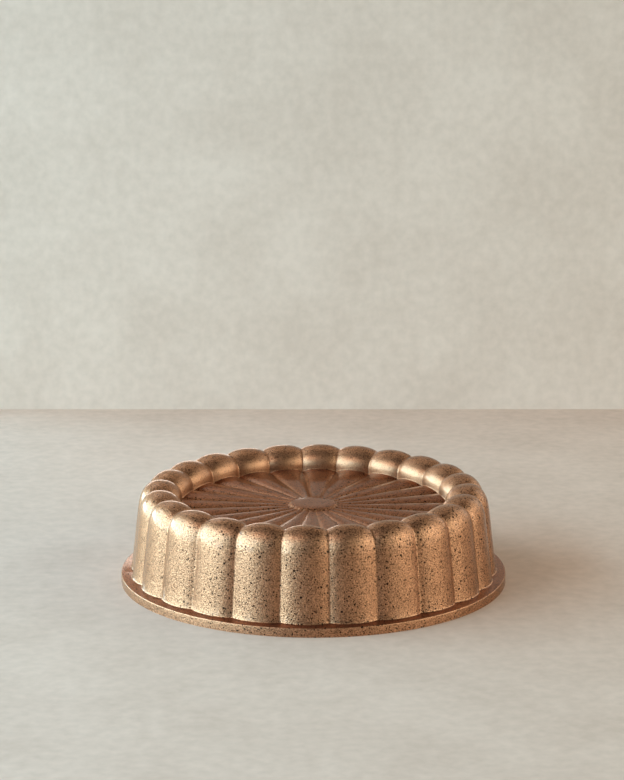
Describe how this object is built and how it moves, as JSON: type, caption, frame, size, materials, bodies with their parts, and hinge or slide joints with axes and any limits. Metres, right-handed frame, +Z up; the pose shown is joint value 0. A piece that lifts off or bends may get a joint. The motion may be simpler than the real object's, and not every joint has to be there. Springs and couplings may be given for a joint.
{
  "type": "fluted cake pan",
  "caption": "Round cast cake pan turned over on its flat rim: fluted wall, rounded crown and a sunken dish of petals round a plain hub, with a specked bronze coat.",
  "frame": {"origin": "centre of the rim's flat face, which the turned-over pan stands on", "axes": "+Z up along the pan's axis, towards the dish; a flute's valley lies towards -Y"},
  "size_m": [0.28, 0.28, 0.0704],
  "materials": {
    "cast_aluminium": "cast, with the rim ground flat",
    "bronze_coat": "satin metallic bronze with dark specks",
    "nonstick_coat": "satin non-stick with fine dark specks"
  },
  "bodies": {
    "root": {"cast_body": "cast_aluminium", "outer_coating": "bronze_coat", "inner_coating": "nonstick_coat"}
  },
  "joints": []
}
